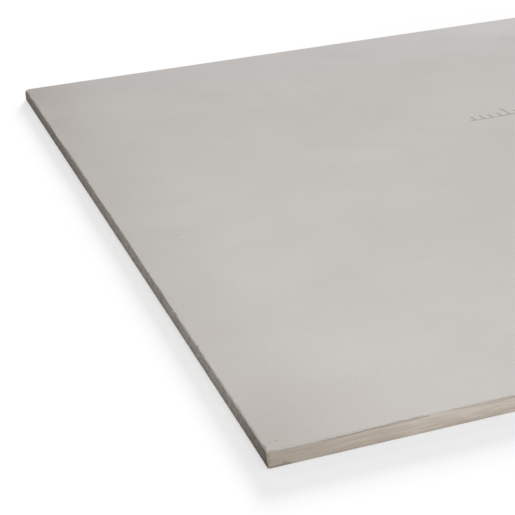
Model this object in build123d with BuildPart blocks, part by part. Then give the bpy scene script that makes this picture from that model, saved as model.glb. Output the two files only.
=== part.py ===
"""Cement board: one flat sheet of fibre-reinforced cement, lying on its back face.

X runs along the length, Y along the width and Z up from the floor. The origin is the
middle of the back face. Every size is in millimetres.
"""

import os

from build123d import *

# The sheet as it is sold
board_length = 1200.0
board_width = 900.0
board_thickness = 12.5

# How far handling and sawing have eased the edges
corner_radius = 2.0  # the four upright corners, seen in plan
arris_radius = 0.6  # where either face turns into the edges

with BuildPart() as board:
    # The outline of the sheet, trimmed to size on all four sides
    with BuildSketch(Plane.XY):
        RectangleRounded(board_length, board_width, corner_radius)
    extrude(amount=board_thickness)

    # The arrises of the back face and of the tile face
    back_face, tile_face = board.faces().filter_by(Axis.Z).sort_by(Axis.Z)
    fillet(back_face.edges() + tile_face.edges(), radius=arris_radius)

board.part.label = "cement_board"

os.makedirs("parts", exist_ok=True)
export_step(board.part, "parts/cement_board.step")
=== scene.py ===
"""Looks of the cement board: the worn sheet, its finish, the white studio and the camera.

X runs along the length, Y along the width and Z up, in metres. Places on the sheet are
measured from its left end and its front edge, the two sides nearest to the camera.
"""

import math

import bmesh
import bpy
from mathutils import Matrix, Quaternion, Vector, noise


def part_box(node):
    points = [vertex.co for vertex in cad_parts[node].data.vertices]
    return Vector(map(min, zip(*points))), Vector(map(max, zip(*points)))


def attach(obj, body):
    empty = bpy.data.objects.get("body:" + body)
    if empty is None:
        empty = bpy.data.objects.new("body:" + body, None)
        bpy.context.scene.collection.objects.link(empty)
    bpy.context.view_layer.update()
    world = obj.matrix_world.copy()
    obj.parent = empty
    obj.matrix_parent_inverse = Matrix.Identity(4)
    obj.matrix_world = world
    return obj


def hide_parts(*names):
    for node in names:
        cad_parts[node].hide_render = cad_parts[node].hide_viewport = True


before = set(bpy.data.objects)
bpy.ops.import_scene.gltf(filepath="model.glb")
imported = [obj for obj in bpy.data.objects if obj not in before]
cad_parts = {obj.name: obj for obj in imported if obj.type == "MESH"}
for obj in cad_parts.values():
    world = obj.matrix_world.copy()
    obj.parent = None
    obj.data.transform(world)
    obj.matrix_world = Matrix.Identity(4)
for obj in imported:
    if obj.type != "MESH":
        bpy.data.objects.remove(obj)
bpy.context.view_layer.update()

MM = 0.001


def srgb(red, green, blue):
    """A colour as a screen shows it, from 0 to 255, as the light that it stands for."""
    shares = (red / 255, green / 255, blue / 255)
    light = [s / 12.92 if s < 0.04045 else ((s + 0.055) / 1.055) ** 2.4 for s in shares]
    return (*light, 1.0)


# The sheet, as the frame gives it
low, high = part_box("cement_board")
board_size = high - low
board_middle = (low + high) / 2
thickness = board_size.z

# How the edges are eased, and the angle from which an edge of the mesh looks sharp
corner_radius = 1.0 * MM
arris_radius = 0.6 * MM
corner_steps = 4
arris_steps = 3
sharp_angle = math.radians(45)

# How finely the sheet is divided near its edges, for wear to show, and the length that counts as none
edge_rows = 8
rim_rows = (1.2 * MM, 2.2 * MM, 4.0 * MM, 8.0 * MM)
dense_rim = 4.0 * MM
cell_size = 40 * MM
wear_step = 1.5 * MM
rim_margin = 0.1 * MM
no_length = 1e-7

# How rough the sides are: the grain and the hollow of the ends, and the long waves of the long edges
end_roughness = 0.20 * MM
coarse_grain = 4 * MM
coarse_share = 0.7
fine_grain = 1.7 * MM
fine_share = 0.3
end_hollow = 0.60 * MM
hollow_skew = 0.65
long_edge_waviness = 0.15 * MM
wave_size = 3 * MM
wave_stretch = 12
grain_seeds = (71, 83)
wave_seed = 97
corner_seed = 61

# How the arrises fray and chip by chance, on the sawn ends and on the long edges
sawn_arris = {
    "least": 0,
    "fray": 1.60 * MM,
    "long_lumps": 9 * MM,
    "short_lumps": 3 * MM,
    "chip": 1.1 * MM,
    "chip_lumps": 14 * MM,
    "chip_starts": 0.60,
    "chip_full": 0.82,
}
long_arris = {
    "least": 0.05 * MM,
    "fray": 0.60 * MM,
    "long_lumps": 30 * MM,
    "short_lumps": 6 * MM,
    "chip": 1.1 * MM,
    "chip_lumps": 40 * MM,
    "chip_starts": 0.70,
    "chip_full": 0.88,
}
arris_seeds = {"left": 11, "right": 23, "front": 37, "rear": 53}
lower_seed = 5

# How much of this fraying the arrises of the back face show, and the chips below
lower_fray = 0.3
chip_fray = 0.3

# Chips that show in the arrises of the tile face: side, middle along it, length and depth
seen_chips = (
    ("front", 3 * MM, 8 * MM, 0.9 * MM),
    ("front", 88 * MM, 20 * MM, 0.9 * MM),
    ("left", 880 * MM, 50 * MM, 1.4 * MM),
    ("left", 841 * MM, 12 * MM, 2.0 * MM),
    ("left", 825 * MM, 110 * MM, 1.5 * MM),
    ("left", 740 * MM, 110 * MM, 1.3 * MM),
    ("left", 600 * MM, 260 * MM, 1.6 * MM),
    ("left", 546 * MM, 14 * MM, 1.9 * MM),
    ("left", 444 * MM, 7 * MM, 1.7 * MM),
    ("left", 420 * MM, 240 * MM, 1.2 * MM),
    ("left", 262 * MM, 60 * MM, 0.7 * MM),
    ("left", 157 * MM, 8 * MM, 1.2 * MM),
    ("left", 7 * MM, 11 * MM, 0.9 * MM),
)

# How far the upright corners are broken back, and how much is knocked off some of their upper tips
corner_break = 0.7 * MM
blunt_tips = {
    ("left", "rear"): 5.0 * MM,
    ("right", "rear"): 3.5 * MM,
    ("right", "front"): 2.5 * MM,
}

# How far the pale skin of the tile face wraps down over the sides: in general, over the ends near the
# front, and over the long edges near the corners
side_wrap = 0.3 * MM
front_wrap = 1.5 * MM
front_wrap_end = 230 * MM
corner_wrap = 0.9 * MM
corner_wrap_end = 63 * MM

# Where the arrises of the front edge are darkest: level, start and end from the left, strength.
# The upper line is partly grime and partly painted shadow under the lip of the skin
dark_seams = (
    ("upper", 30 * MM, 108 * MM, 0.45),
    ("lower", 0, 14 * MM, 1.0),
)

# The printed scale: a ruled line with ticks, near the middle of the tile face
scale_half_length = 195 * MM
scale_from_front = 530 * MM
scale_line = 2.0 * MM
scale_blur = 0.35 * MM
small_tick_gap = 10 * MM
small_tick = 12 * MM
large_tick_gap = 50 * MM
large_tick = 24 * MM
scale_strength = 0.80

# Specks: place from the left end, from the front edge and down from the tile face, and radius
dark_specks = (
    (1.4 * MM, 6.2 * MM, 0, 0.8 * MM),
    (5.7 * MM, 10.3 * MM, 0, 0.7 * MM),
    (9.7 * MM, 10.4 * MM, 0, 0.8 * MM),
    (9.8 * MM, 228 * MM, 0, 0.7 * MM),
    (11 * MM, 0, 10 * MM, 1.5 * MM),
)
brown_specks = (
    (43.7 * MM, 368 * MM, 0, 2.6 * MM),
    (3.4 * MM, 208 * MM, 0, 1.8 * MM),
)

# How far in from the ends, and from the corners, the sheet is darker, and from where
# to where it gets darker towards the rear left corner
darkening_reach = 130 * MM
rear_left_starts = 400 * MM
rear_left_full = 50 * MM

# How far a surface has turned to an end or to a long edge where its colour starts, and the further
# turn to where that colour is full
end_starts = 0.4
edge_starts = 0.5
turn_to_full = 0.2

# How rough the cement is, how much that changes from patch to patch, and how strongly it reflects
least_roughness = 0.82
patch_roughness = 0.12
reflection = 0.2

# The colours of the tile face and of what is on it
face_dull = srgb(195, 191, 186)
face_bright = srgb(200, 197, 192)
# Painted sheen: the tile face cooler towards the rear
face_rear_sheen = srgb(201, 195, 195)
face_to_front = srgb(195, 188, 187)
# Painted sheen: a paler patch at the rear of the tile face
face_palest_sheen = srgb(216, 213, 211)
face_blotch = srgb(187, 181, 176)
face_dark_grain = srgb(172, 168, 161)
face_pale_grain = srgb(214, 211, 207)
face_darker = srgb(156, 146, 139)
dark_speck = srgb(112, 107, 101)
brown_speck = srgb(174, 166, 140)
scale_ink = srgb(118, 114, 110)

# The colours of the tan skin on the long edges
skin_pale = srgb(205, 196, 186)
skin_tan = srgb(188, 178, 166)
skin_rust = srgb(190, 162, 136)
# Painted shade low on the long edges, towards the floor
skin_shaded_low = srgb(162, 140, 126)
# Grime, and painted shadow under the lip of the skin
skin_seam_and_shadow = srgb(120, 106, 93)
# Darker near the ends, and there partly painted shade
skin_darker_and_shaded = srgb(155, 144, 132)

# The colours of the sawn core, of the chips and of the upright corners
core_dark = srgb(136, 130, 122)
core_pale = srgb(173, 166, 158)
core_pit = srgb(98, 93, 86)
# Darker near the front and low down, and painted shade towards the rear
core_darker_and_shaded = srgb(98, 90, 80)
edge_chip = srgb(165, 157, 147)
end_chip = srgb(152, 146, 138)
# Partly a worn arris, partly painted light on the rounded upright corners
corner_pale_lit = srgb(180, 169, 161)
corner_dull = srgb(142, 131, 122)

# The floor: half its width, its paint, and the tint of the shadow that is thrown in front
floor_half = 5
floor_paint = (0.85, 0.85, 0.85, 1)
shadow_tint = (0.52, 0.65, 0.73, 1)
white = (1, 1, 1, 1)
black = (0, 0, 0, 1)

# The softboxes: name, place, width, height and level, and what they all aim at
softboxes = (
    ("front_softbox", Vector((-1.2, -2.2, 1.9)), 1.2, 0.9, 0.55),
    ("overhead_softbox", Vector((-0.3, -0.5, 2.8)), 1.6, 1.2, 0.13),
)
softbox_aim = Vector((-0.4, -0.2, thickness))

# The light that comes from all round
sky_grey = (0.25, 0.25, 0.25, 1)

# The low light behind: its level, its height, its turn from straight behind to the right, its width
sun_level = 0.22
sun_height = math.radians(15.8)
sun_turn = math.radians(24.9)
sun_width = math.radians(15.0)

# The camera: where it stands, what it looks at on the tile face, its tilt and its lens
camera_place = Vector((-0.8075, -1.1403, 0.4509))
camera_aim = Vector((-0.5093, -0.1600, thickness))
camera_tilt = math.radians(-3.88)
camera_lens = 95.1
camera_sensor = 36
camera_nearest = 10 * MM


# The shape of the sheet

def cut_through(bm, axis, place):
    """Cuts the whole mesh along a plane across X, Y or Z."""
    point = Vector((0, 0, 0))
    point[axis] = place
    normal = Vector((0, 0, 0))
    normal[axis] = 1
    geometry = bm.verts[:] + bm.edges[:] + bm.faces[:]
    bmesh.ops.bisect_plane(bm, geom=geometry, dist=no_length, plane_co=point, plane_no=normal)


def edge_runs_along(edge, axis):
    """Whether an edge is straight along X, Y or Z."""
    run = edge.verts[0].co - edge.verts[1].co
    return abs(abs(run[axis]) - run.length) < no_length


def eased_block():
    """The sheet with its upright corners and its arrises rounded."""
    bm = bmesh.new()
    bmesh.ops.create_cube(bm, size=1)
    bmesh.ops.scale(bm, vec=board_size, verts=bm.verts)
    bmesh.ops.translate(bm, vec=board_middle, verts=bm.verts)
    rounding = {"offset_type": "OFFSET", "affect": "EDGES", "profile": 0.5, "material": -1}
    uprights = [edge for edge in bm.edges if edge_runs_along(edge, 2)]
    bmesh.ops.bevel(bm, geom=uprights, offset=corner_radius, segments=corner_steps, **rounding)
    flats = [face for face in bm.faces if abs(face.normal.z) > 0.9]
    arrises = [edge for face in flats for edge in face.edges]
    bmesh.ops.bevel(bm, geom=arrises, offset=arris_radius, segments=arris_steps, **rounding)
    return bm


def cut_rows_and_cells(bm):
    """Cuts rows round the sides, rows along the rim and cells over the faces."""
    wall = thickness - 2 * arris_radius
    for row in range(1, edge_rows):
        cut_through(bm, 2, low.z + arris_radius + wall * row / edge_rows)
    for axis in (0, 1):
        for row in rim_rows:
            cut_through(bm, axis, low[axis] + row)
            cut_through(bm, axis, high[axis] - row)
        start = low[axis] + rim_rows[-1]
        span = board_size[axis] - 2 * rim_rows[-1]
        cells = round(span / cell_size)
        for cell in range(1, cells):
            cut_through(bm, axis, start + span * cell / cells)


def divide_rim(bm):
    """Divides the rim of the sheet into the short steps that wear needs."""
    cuts = round(cell_size / wear_step) - 1
    within = dense_rim + rim_margin
    for axis in (0, 1):
        across = 1 - axis
        half = board_size[across] / 2
        rim_edges = [
            edge for edge in bm.edges
            if edge_runs_along(edge, axis) and edge.calc_length() > cell_size / 2
            and half - abs(edge.verts[0].co[across]) < within
        ]
        bmesh.ops.subdivide_edges(
            bm, edges=rim_edges, cuts=cuts, use_grid_fill=True, use_single_edge=True
        )


def mark_sides(bm):
    """Notes on each vertex how far it faces an end and how far it faces a long edge."""
    bm.normal_update()
    end_cut = bm.verts.layers.float.new("end_cut")
    long_edge = bm.verts.layers.float.new("long_edge")
    for vert in bm.verts:
        vert[end_cut] = vert.normal.x ** 2
        vert[long_edge] = vert.normal.y ** 2


def lumps(place, size, seed):
    """Smooth noise from 0 to 1, with lumps of about the given size, other ones for each seed."""
    return 0.5 + 0.5 * noise.noise(place / size + Vector((seed, 2.7 * seed, -1.3 * seed)))


def ramp(value, start, end):
    """A smooth step from 0 at start to 1 at end."""
    share = min(max((value - start) / (end - start), 0), 1)
    return share * share * (3 - 2 * share)


def from_end(place):
    """How far a place on the sheet is from the nearer end."""
    return board_size.x / 2 - abs(place.x)


def from_edge(place):
    """How far a place on the sheet is from the nearer long edge."""
    return board_size.y / 2 - abs(place.y)


def from_face(place):
    """How far a place on the sheet is from the nearer face."""
    return min(high.z - place.z, place.z - low.z)


def is_upper(place):
    """Whether a place on the sheet is nearer to the tile face than to the back face."""
    return place.z > board_middle.z


def nearest_sides(place):
    """The names of the end and of the long edge that are nearest to a place."""
    return "left" if place.x < 0 else "right", "front" if place.y < 0 else "rear"


def inward(place):
    """The way along X and Y that leads from a place into the sheet."""
    return Vector((-math.copysign(1, place.x), -math.copysign(1, place.y), 0))


def arris_depth(side, along, upper):
    """How far an arris is broken back, at a place along one side of the sheet."""
    habit = sawn_arris if side in ("left", "right") else long_arris
    seed = arris_seeds[side] + (0 if upper else lower_seed)
    place = Vector((along, 0, 0))
    long_lumps = lumps(place, habit["long_lumps"], seed)
    short_lumps = lumps(place, habit["short_lumps"], seed + 1)
    fray = habit["least"] + habit["fray"] * long_lumps * short_lumps
    if not upper:
        return lower_fray * fray
    chip_lumps = lumps(place, habit["chip_lumps"], seed + 2)
    chip = habit["chip"] * ramp(chip_lumps, habit["chip_starts"], habit["chip_full"])
    depth = max(fray, chip)
    for chip_side, middle, length, chip_depth in seen_chips:
        if chip_side == side:
            offset = 2 * (along - middle) / length
            depth = max(depth, chip_depth * (1 - offset * offset) + chip_fray * fray)
    return depth


def roughen(vert, place, faces_end, faces_edge):
    """Roughens and hollows the ends, waves the long edges and breaks the upright corners back."""
    into = inward(place)
    coarse = lumps(place, coarse_grain, grain_seeds[0])
    fine = lumps(place, fine_grain, grain_seeds[1])
    grain = coarse_share * coarse + fine_share * fine
    share_of_width = (place.y - low.y) / board_size.y
    hollow = end_hollow * math.sin(math.pi * share_of_width ** hollow_skew)
    near_end = ramp(from_end(place), dense_rim, arris_radius)
    vert.co.x += into.x * (end_roughness * grain * faces_end + hollow * near_end)
    waves = lumps(Vector((place.x / wave_stretch, place.y, place.z)), wave_size, wave_seed)
    vert.co.y += into.y * long_edge_waviness * waves * faces_edge
    at_corner = 4 * faces_end * faces_edge
    chunks = lumps(place, coarse_grain, corner_seed)
    vert.co += corner_break * at_corner * chunks * ramp(place.z, 0, thickness) * into


def break_arris(vert, place, chipped):
    """Breaks the nearest arris back at a slant, into the sheet."""
    end, edge = nearest_sides(place)
    into = inward(place)
    upper = is_upper(place)
    if from_end(place) < from_edge(place):
        depth = arris_depth(end, place.y - low.y, upper)
        into.y = 0
    else:
        depth = arris_depth(edge, place.x - low.x, upper)
        into.x = 0
    into.z = -1 if upper else 1
    short = depth - min(from_end(place), from_edge(place)) - from_face(place)
    if short > 0:
        vert.co += into * short / 2
        vert[chipped] = min(short / MM, 1)


def blunt_tip(vert, place, chipped):
    """Knocks off the upper tip of a corner, where that corner is blunt."""
    blunt = blunt_tips.get(nearest_sides(place), 0)
    knocked = blunt - from_end(place) - from_edge(place) - from_face(place)
    if is_upper(place) and knocked > 0:
        vert.co += (inward(place) + Vector((0, 0, -1))) * knocked / 3
        vert[chipped] = min(knocked / MM, 1)


def wear(bm):
    """Wears the sides, the arrises and the corners, always into the sheet."""
    end_cut = bm.verts.layers.float["end_cut"]
    long_edge = bm.verts.layers.float["long_edge"]
    chipped = bm.verts.layers.float.new("chipped")
    for vert in bm.verts:
        place = vert.co.copy()
        if min(from_end(place), from_edge(place)) > dense_rim:
            continue
        roughen(vert, place, vert[end_cut], vert[long_edge])
        break_arris(vert, place, chipped)
        blunt_tip(vert, place, chipped)


def worn_sheet():
    """The one piece of the object, standing for the plain solid."""
    bm = eased_block()
    cut_rows_and_cells(bm)
    divide_rim(bm)
    mark_sides(bm)
    wear(bm)
    mesh = bpy.data.meshes.new("worn_sheet")
    bm.to_mesh(mesh)
    bm.free()
    mesh.shade_smooth()
    mesh.set_sharp_from_angle(angle=sharp_angle)
    sheet = bpy.data.objects.new("worn_sheet", mesh)
    bpy.context.scene.collection.objects.link(sheet)
    return sheet


# Node trees

class Value:
    """An output of a node. Operators on it add Math nodes."""

    def __init__(self, nodes, socket):
        self.nodes = nodes
        self.socket = socket

    def math(self, operation, first, second=0.0):
        """A Math node on one or two values."""
        return self.nodes.add("ShaderNodeMath", {"operation": operation}, {0: first, 1: second})

    def __add__(self, other):
        return self.math("ADD", self, other)

    def __sub__(self, other):
        return self.math("SUBTRACT", self, other)

    def __rsub__(self, other):
        return self.math("SUBTRACT", other, self)

    def __mul__(self, other):
        return self.math("MULTIPLY", self, other)

    def __truediv__(self, other):
        return self.math("DIVIDE", self, other)

    def __abs__(self):
        return self.math("ABSOLUTE", self)

    __radd__ = __add__
    __rmul__ = __mul__

    def larger(self, other):
        """The larger of this and another value."""
        return self.math("MAXIMUM", self, other)

    def to_nearest(self, gap):
        """How far this is from the nearest whole number of gaps."""
        return abs(self - gap * self.math("ROUND", self / gap))

    def step(self, start, end):
        """A smooth step from 0 where this is start to 1 where it is end."""
        if start > end:
            return 1 - self.step(end, start)
        sockets = {"Value": self, "From Min": start, "From Max": end}
        return self.nodes.add("ShaderNodeMapRange", {"interpolation_type": "SMOOTHSTEP"}, sockets)


class Nodes:
    """The node tree of a material or of the world, with one method that adds its nodes."""

    def __init__(self, owner):
        owner.use_nodes = True
        self.tree = owner.node_tree
        self.tree.nodes.clear()

    def add(self, kind, settings=None, sockets=None, output=0):
        """Adds a node, with its settings first and then a value or a link for each socket."""
        node = self.tree.nodes.new(kind)
        for name, setting in (settings or {}).items():
            setattr(node, name, setting)
        for key, value in (sockets or {}).items():
            if isinstance(value, Value):
                self.tree.links.new(value.socket, node.inputs[key])
            else:
                node.inputs[key].default_value = value
        if isinstance(output, tuple):
            return [Value(self, node.outputs[name]) for name in output]
        return Value(self, node.outputs[output]) if len(node.outputs) else None

    def mix(self, share, first, second):
        """A blend of two colours."""
        return self.add("ShaderNodeMix", {"data_type": "RGBA"}, {0: share, 6: first, 7: second}, 2)

    def attribute(self, name):
        """A number that the mesh holds for each vertex."""
        return self.add("ShaderNodeAttribute", {"attribute_name": name}, output="Fac")

    def place(self):
        """Where a point is on its piece."""
        return self.add("ShaderNodeTexCoord", output="Object")

    def along(self, axis):
        """Where a point is on its piece, along X, Y or Z."""
        return self.add("ShaderNodeSeparateXYZ", sockets={0: self.place()}, output=axis)

    def from_left(self):
        """How far a point is from the left end of the sheet."""
        return self.along("X") - low.x

    def from_front(self):
        """How far a point is from the front edge of the sheet."""
        return self.along("Y") - low.y

    def from_rear(self):
        """How far a point is from the rear edge of the sheet."""
        return high.y - self.along("Y")

    def from_end(self):
        """How far in from the nearer end of the sheet a point is."""
        return board_size.x / 2 - abs(self.along("X"))

    def from_edge(self):
        """How far in from the nearer long edge of the sheet a point is."""
        return board_size.y / 2 - abs(self.along("Y"))

    def clouds(self, size, detail, stretch=(1, 1, 1), shift=0.0):
        """Noise from about 0 to 1, with lumps of about the given size, drawn out by stretch."""
        drawn_out = {
            "Vector": self.place(),
            "Location": (shift, 1.7 * shift, -0.6 * shift),
            "Scale": tuple(1 / factor for factor in stretch),
        }
        place = self.add("ShaderNodeMapping", sockets=drawn_out)
        lumpy = {"Vector": place, "Scale": 1 / size, "Detail": detail}
        return self.add("ShaderNodeTexNoise", sockets=lumpy)


# The finish of the sheet

def face_colour(nodes):
    """Pale warm grey cement, rosier to the long edges, cloudy over hands' breadths and speckled, with a
    painted sheen at the rear: cooler there, and paler in the middle of the length.
    """
    clouds = nodes.clouds(230 * MM, detail=3, shift=0.6).step(0.3, 0.7)
    # Painted sheen: cooler towards the rear
    to_rear = 0.4 * nodes.from_rear().step(300 * MM, 0)
    to_front = 0.2 * nodes.from_front().step(110 * MM, 60 * MM)
    # Painted sheen: paler at the rear, in the middle of the length
    rear_sheen = 0.5 * nodes.from_rear().step(170 * MM, 0)
    in_middle = nodes.from_left().step(400 * MM, 650 * MM) * nodes.from_left().step(1100 * MM, 750 * MM)
    blotches = 0.25 * nodes.clouds(55 * MM, detail=4, shift=4.1).step(0.45, 0.75)
    speckle = nodes.clouds(1.6 * MM, detail=3, shift=0.2)
    dark_grains = 0.20 * speckle.step(0.52, 0.72)
    pale_grains = 0.17 * speckle.step(0.48, 0.28)
    colour = nodes.mix(clouds, face_dull, face_bright)
    colour = nodes.mix(to_rear, colour, face_rear_sheen)
    colour = nodes.mix(to_front, colour, face_to_front)
    colour = nodes.mix(rear_sheen * in_middle, colour, face_palest_sheen)
    colour = nodes.mix(blotches, colour, face_blotch)
    colour = nodes.mix(dark_grains, colour, face_dark_grain)
    return nodes.mix(pale_grains, colour, face_pale_grain)


def printed_scale(nodes):
    """Where a ruled line with ticks is printed on the tile face, worn by its grain."""
    along = nodes.along("X")
    rise = nodes.from_front() - scale_from_front
    within = abs(along).step(scale_half_length + scale_line, scale_half_length)
    outside = scale_line / 2 + scale_blur
    inside = scale_line / 2 - scale_blur
    marks = abs(rise).step(outside, inside)
    for gap, tick in ((small_tick_gap, small_tick), (large_tick_gap, large_tick)):
        stroke = along.to_nearest(gap).step(outside, inside)
        below_tip = rise.step(tick + scale_blur, tick - scale_blur)
        marks = marks.larger(stroke * rise.step(-scale_blur, scale_blur) * below_tip)
    worn = nodes.clouds(2.5 * MM, detail=3, shift=2.9).step(0.25, 0.6)
    upper = nodes.along("Z").step(thickness - 1.0 * MM, thickness - 0.5 * MM)
    return marks * within * worn * upper


def with_specks(nodes, colour):
    """The colour with its few dark and brown specks."""
    for specks, tint, strength in ((dark_specks, dark_speck, 0.6), (brown_specks, brown_speck, 0.3)):
        for from_left, from_front, down, radius in specks:
            middle = (low.x + from_left, low.y + from_front, high.z - down)
            sockets = {0: nodes.place(), 1: middle}
            away = nodes.add("ShaderNodeVectorMath", {"operation": "DISTANCE"}, sockets, "Value")
            colour = nodes.mix(strength * away.step(1.4 * radius, 0.3 * radius), colour, tint)
    return colour


def edge_streaks(nodes):
    """Fine streaks drawn along the long edges."""
    return nodes.clouds(1.4 * MM, detail=4, stretch=(16, 1, 1), shift=0.7)


def seam_grime_and_shadow(nodes):
    """How dark the arrises of the long edges are: grime along them, most at the dark seams of the front,
    the upper one partly painted shadow under the lip of the skin.
    """
    above_middle = nodes.along("Z") - board_middle.z
    on_front = nodes.along("Y").step(1 * MM, 0)
    grime_and_shadow = 0.35 * nodes.clouds(16 * MM, detail=3, stretch=(2, 1, 1), shift=2.2).step(0.35, 0.65)
    # The upper seam is partly painted shadow under the lip of the skin
    for level, start, end, strength in dark_seams:
        fade = 0.15 * (end - start)
        started = nodes.from_left().step(start, start + fade)
        not_ended = nodes.from_left().step(end + 2 * MM, end)
        upward = 1 if level == "upper" else -1
        on_level = (upward * above_middle).step(0, 1 * MM)
        grime_and_shadow = grime_and_shadow + strength * started * not_ended * on_level * on_front
    return grime_and_shadow


def long_edge_colour(nodes, skin_wrap):
    """Tan skin over the long edges, with rusty streaks, painted shade low down, and grime and painted
    shadow at its arrises.
    """
    rust = 0.40 * nodes.clouds(5 * MM, detail=3, stretch=(4, 1, 0.6), shift=3.3).step(0.56, 0.75)
    low_down = nodes.along("Z").step(0.45 * thickness, 0.15 * thickness)
    off_corner = nodes.from_end().step(25 * MM, 75 * MM)
    from_face = thickness / 2 - abs(nodes.along("Z") - board_middle.z)
    at_arris = (from_face - skin_wrap).step(1.0 * MM, 0.6 * MM)
    colour = nodes.mix(edge_streaks(nodes).step(0.35, 0.65), skin_pale, skin_tan)
    colour = nodes.mix(rust, colour, skin_rust)
    # Painted shade: darker low down, towards the floor
    colour = nodes.mix(0.2 * low_down * off_corner, colour, skin_shaded_low)
    return nodes.mix(seam_grime_and_shadow(nodes) * at_arris, colour, skin_seam_and_shadow)


def end_colour(nodes):
    """Dark coarse core that a sawn end shows, with paler grains in it, darker near the front and low
    down, and with painted shade towards the rear.
    """
    grains = nodes.clouds(3.2 * MM, detail=4, shift=5.9).step(0.35, 0.68)
    pits = 0.7 * nodes.clouds(1.4 * MM, detail=2, shift=8.8).step(0.58, 0.7)
    near_front = 0.68 * nodes.from_front().step(0.75 * darkening_reach, 0)
    at_corner = 0.20 * nodes.from_front().step(14 * MM, 0)
    # Painted shade: the end darker towards the rear
    to_rear = 0.40 * nodes.from_rear().step(550 * MM, 150 * MM)
    low_down = 0.25 * nodes.along("Z").step(0.6 * thickness, 0)
    colour = nodes.mix(grains, core_dark, core_pale)
    colour = nodes.mix(pits, colour, core_pit)
    return nodes.mix(near_front + at_corner + to_rear + low_down, colour, core_darker_and_shaded)


def ragged(nodes):
    """A small number, above and below 0, that makes the borders of the skin ragged."""
    return 0.5 * (nodes.clouds(1.5 * MM, detail=3, shift=6.1) - 0.5)


def end_wrap(nodes):
    """How far the pale skin of the tile face wraps down over the ends."""
    near_front = nodes.from_front().step(front_wrap_end, 0.9 * front_wrap_end)
    return side_wrap + (front_wrap - side_wrap) * near_front


def edge_wrap(nodes):
    """How far the pale skin of the tile face wraps down over the long edges."""
    near_corner = nodes.from_end().step(corner_wrap_end + 2 * MM, corner_wrap_end - 2 * MM)
    return side_wrap + (corner_wrap - side_wrap) * near_corner


def side_share(nodes, side, start, skin_wrap):
    """Where a side of the sheet shows its own colour, below the pale skin that wraps over it."""
    from_top = high.z - nodes.along("Z") + 1.2 * MM * ragged(nodes)
    below_skin = (from_top - skin_wrap).step(-0.3 * MM, 0.3 * MM)
    return (nodes.attribute(side) + ragged(nodes)).step(start, start + turn_to_full) * below_skin


def cloudy_patches(nodes):
    """Cloudy patches in the darkening near the ends, which also change how rough the sheet is."""
    return nodes.clouds(70 * MM, detail=4, shift=7.2)


def with_darkening_and_shade(nodes, colour, edge_share):
    """The colour darker near the ends and corners and towards the rear left corner, with painted shade on
    the long edges near the ends.
    """
    near_end = nodes.from_end().step(darkening_reach, 0)
    near_corner = near_end * nodes.from_edge().step(darkening_reach, 0)
    to_left = nodes.from_left().step(rear_left_starts, rear_left_full)
    to_rear = nodes.from_rear().step(rear_left_starts, rear_left_full)
    # Darker near the ends and corners, and towards the rear left corner
    darker_near_ends = near_end * near_end * (0.20 + 0.12 * cloudy_patches(nodes)) + 0.13 * near_corner
    # Painted shade: the long edges darker near the ends
    darkening = darker_near_ends + 0.12 * to_left * to_rear + 0.28 * near_end * edge_share
    return nodes.mix(darkening, colour, nodes.mix(edge_share, face_darker, skin_darker_and_shaded))


def with_chips(nodes, colour):
    """The colour with the bare cement of the broken arrises."""
    on_end = (nodes.from_edge() - nodes.from_end()).step(0, 1 * MM)
    chips = 0.70 * (nodes.attribute("chipped") + ragged(nodes)).step(0.1, 0.45)
    return nodes.mix(chips, colour, nodes.mix(on_end, edge_chip, end_chip))


def with_corner_strips(nodes, colour, end_share, edge_share):
    """The colour with ragged strips at the upright corners: pale on the ends, partly a worn arris and
    partly painted light on the rounded corner, and dull on the long edges.
    """
    rag = 5 * MM * (nodes.clouds(2.5 * MM, detail=3, shift=9.4) - 0.5)
    narrowing = 3.0 * MM * nodes.along("Z").step(0.9 * thickness, 0)
    # Partly painted light: the rounded corner paler on the end side
    pale_and_lit = 0.75 * end_share * (nodes.from_edge() + rag + narrowing).step(3.2 * MM, 1.4 * MM)
    dull = 0.60 * edge_share * (nodes.from_end() + rag).step(2.6 * MM, 1.0 * MM)
    colour = nodes.mix(pale_and_lit, colour, corner_pale_lit)
    return nodes.mix(dull, colour, corner_dull)


def relief(nodes, edge_share, end_share):
    """Fine grain on the faces, streaks on the long edges and coarse grain on the ends, in millimetres."""
    fine = nodes.clouds(0.9 * MM, detail=3, shift=0.4)
    coarse = nodes.clouds(6 * MM, detail=3, shift=0.9)
    grains = nodes.clouds(2.4 * MM, detail=4, shift=5.9)
    face_height = 0.06 * fine + 0.10 * coarse
    edge_height = 0.20 * edge_streaks(nodes) + 0.08 * fine
    end_height = 0.7 * grains
    height = face_height * (1 - edge_share) * (1 - end_share)
    height = height + edge_height * edge_share + end_height * end_share
    sockets = {"Height": height, "Distance": 1 * MM, "Strength": 1.0}
    return nodes.add("ShaderNodeBump", sockets=sockets)


def cement_finish():
    """The whole finish: faces, long edges, ends, dirt, broken arrises and corners."""
    material = bpy.data.materials.new("cement")
    nodes = Nodes(material)
    over_edges = edge_wrap(nodes)
    end_share = side_share(nodes, "end_cut", end_starts, end_wrap(nodes))
    edge_share = side_share(nodes, "long_edge", edge_starts, over_edges)
    colour = nodes.mix(scale_strength * printed_scale(nodes), face_colour(nodes), scale_ink)
    colour = nodes.mix(edge_share, colour, long_edge_colour(nodes, over_edges))
    colour = with_specks(nodes, colour)
    colour = with_darkening_and_shade(nodes, colour, edge_share)
    colour = nodes.mix(end_share, colour, end_colour(nodes))
    colour = with_chips(nodes, colour)
    colour = with_corner_strips(nodes, colour, end_share, edge_share)
    sockets = {
        "Base Color": colour,
        "Roughness": least_roughness + patch_roughness * cloudy_patches(nodes),
        "Normal": relief(nodes, edge_share, end_share),
        "Specular IOR Level": reflection,
    }
    surface = nodes.add("ShaderNodeBsdfPrincipled", sockets=sockets)
    nodes.add("ShaderNodeOutputMaterial", sockets={"Surface": surface})
    return material


# The studio

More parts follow.
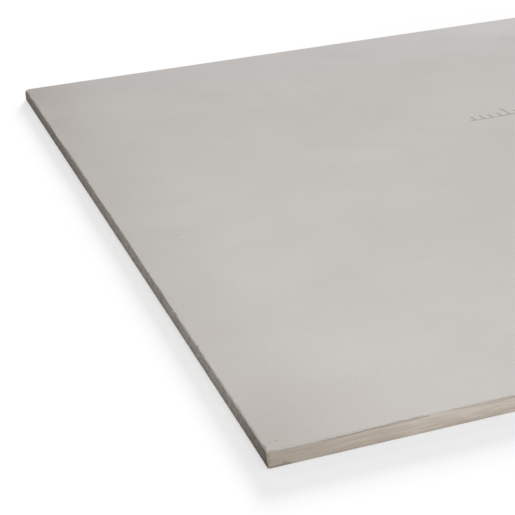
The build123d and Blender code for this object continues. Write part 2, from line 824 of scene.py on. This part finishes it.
def seen_directly(nodes):
    """1 where the camera sees a thing straight, in a mirror or through glass, and 0 for other light."""
    names = ("Is Camera Ray", "Is Glossy Ray", "Is Transmission Ray")
    straight, mirrored, through = nodes.add("ShaderNodeLightPath", output=names)
    return straight.larger(mirrored).larger(through)


def floor_lift(nodes):
    """How far the floor is lifted to white: more away from the sheet, to the rear and to the right."""
    beside = (0 - nodes.from_end()).larger(0 - nodes.from_edge())
    to_rear = 0.34 * nodes.along("Y").step(-1.2, 1.2)
    to_right = 0.16 * nodes.along("X").step(0, 700 * MM)
    away = 0.55 * beside.step(60 * MM, 600 * MM)
    return 0.07 + to_rear + to_right + away


def floor_tint(nodes):
    """White, and cooler in the strip of shadow in front, where the tan edge throws warm light."""
    past_front = 0 - nodes.from_front()
    beside_front = nodes.from_end().step(-10 * MM, 20 * MM)
    strip = past_front.step(-2 * MM, 0) * past_front.step(22 * MM, 2 * MM)
    return nodes.mix(beside_front * strip, white, shadow_tint)


def floor_finish():
    """White paint that keeps the sheet's shadow beside it and looks white elsewhere."""
    material = bpy.data.materials.new("floor_white")
    nodes = Nodes(material)
    glow = nodes.mix(floor_lift(nodes) * seen_directly(nodes), black, floor_tint(nodes))
    paint = nodes.add("ShaderNodeBsdfDiffuse", sockets={"Color": floor_paint})
    lifted = nodes.add("ShaderNodeEmission", sockets={"Color": glow})
    surface = nodes.add("ShaderNodeAddShader", sockets={0: paint, 1: lifted})
    nodes.add("ShaderNodeOutputMaterial", sockets={"Surface": surface})
    return material


def studio_floor():
    """A wide white floor under the sheet."""
    bm = bmesh.new()
    bmesh.ops.create_grid(bm, x_segments=1, y_segments=1, size=floor_half)
    mesh = bpy.data.meshes.new("floor")
    bm.to_mesh(mesh)
    bm.free()
    mesh.materials.append(floor_finish())
    floor = bpy.data.objects.new("floor", mesh)
    bpy.context.scene.collection.objects.link(floor)


def softbox(name, place, width, height, level):
    """A soft lamp that lights what faces it at its aim to the given share of full white."""
    lamp = bpy.data.lights.new(name, "AREA")
    lamp.shape = "RECTANGLE"
    lamp.size = width
    lamp.size_y = height
    run = softbox_aim - place
    lamp.energy = level * (math.pi * run.length) ** 2
    holder = bpy.data.objects.new(name, lamp)
    holder.location = place
    holder.rotation_euler = run.to_track_quat("-Z", "Y").to_euler()
    holder.visible_camera = False
    bpy.context.scene.collection.objects.link(holder)


def low_sun():
    """An even low light from behind, wide enough for soft shadows, that lights the floor to its level."""
    lamp = bpy.data.lights.new("low_back_light", "SUN")
    lamp.angle = sun_width
    lamp.energy = sun_level * math.pi / math.sin(sun_height)
    holder = bpy.data.objects.new("low_back_light", lamp)
    holder.rotation_euler = (math.pi / 2 - sun_height, 0, math.pi - sun_turn)
    bpy.context.scene.collection.objects.link(holder)


def studio_sky():
    """Even light from all round, which looks white."""
    world = bpy.data.worlds.new("studio")
    bpy.context.scene.world = world
    nodes = Nodes(world)
    colour = nodes.mix(seen_directly(nodes), sky_grey, white)
    sky = nodes.add("ShaderNodeBackground", sockets={"Color": colour})
    nodes.add("ShaderNodeOutputWorld", sockets={"Surface": sky})


def studio_camera():
    """The camera, at the place and tilt that the photograph was taken from."""
    lens = bpy.data.cameras.new("camera")
    lens.sensor_width = camera_sensor
    lens.lens = camera_lens
    lens.clip_start = camera_nearest
    camera = bpy.data.objects.new("camera", lens)
    look = (camera_aim - camera_place).to_track_quat("-Z", "Y")
    turn = look @ Quaternion((0, 0, 1), camera_tilt)
    camera.location = camera_place
    camera.rotation_euler = turn.to_euler()
    bpy.context.scene.collection.objects.link(camera)
    bpy.context.scene.camera = camera


sheet = worn_sheet()
sheet.data.materials.append(cement_finish())
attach(sheet, "root")
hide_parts("cement_board")

studio_floor()
for lamp_facts in softboxes:
    softbox(*lamp_facts)
low_sun()
studio_sky()
studio_camera()
bpy.context.scene.view_settings.view_transform = "Standard"
